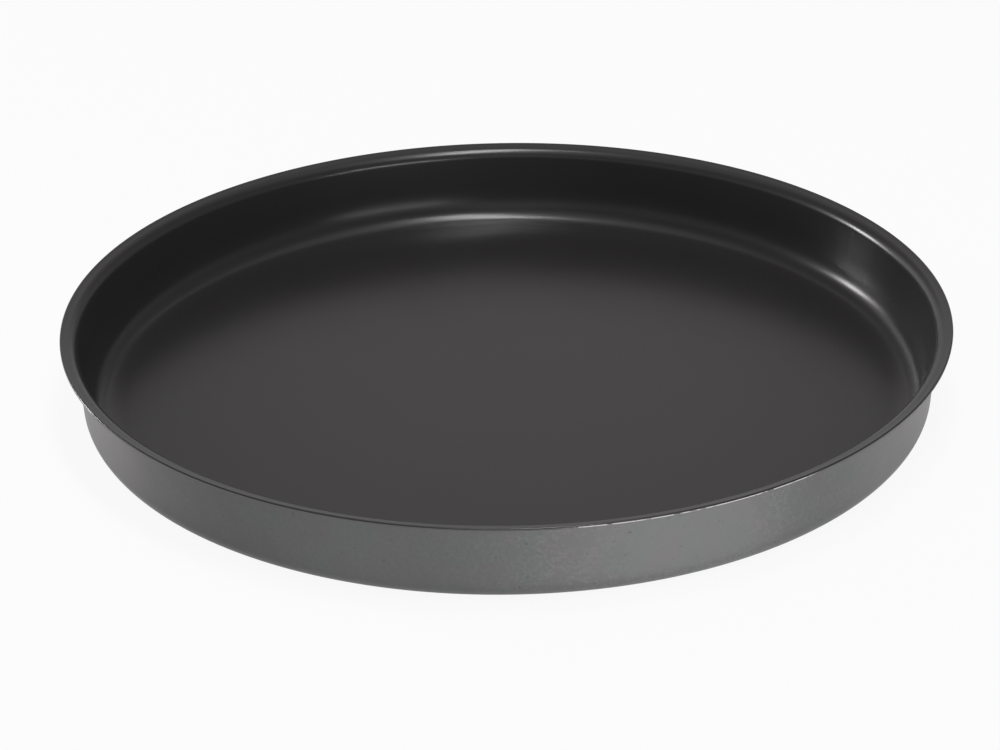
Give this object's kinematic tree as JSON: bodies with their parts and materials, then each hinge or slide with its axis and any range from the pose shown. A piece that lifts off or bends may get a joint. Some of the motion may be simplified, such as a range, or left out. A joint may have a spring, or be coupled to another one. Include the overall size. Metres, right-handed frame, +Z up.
{
  "type": "round baking pan",
  "caption": "Shallow round baking pan pressed from thin steel sheet, with a flat floor, steep wall, narrow rim turned out and a little up, dark non-stick lining and grey lacquered outside.",
  "frame": {"origin": "centre of the pan's underside, on the surface that it stands on", "axes": "+Z up along the pan's axis of revolution, X and Y across the rim; the pan is round, so the turn about Z is free"},
  "size_m": [0.3, 0.3, 0.0291],
  "materials": {
    "bare_steel": "bare sheared edge of cold-rolled steel sheet, bright and slightly burred",
    "nonstick_coat": "dark grey semi-gloss baked non-stick coat, smooth",
    "grey_lacquer": "satin metallic grey lacquer, slightly mottled with fine specks"
  },
  "bodies": {
    "root": {"steel_shell": "bare_steel", "nonstick_lining": "nonstick_coat", "outer_lacquer": "grey_lacquer"}
  },
  "joints": []
}
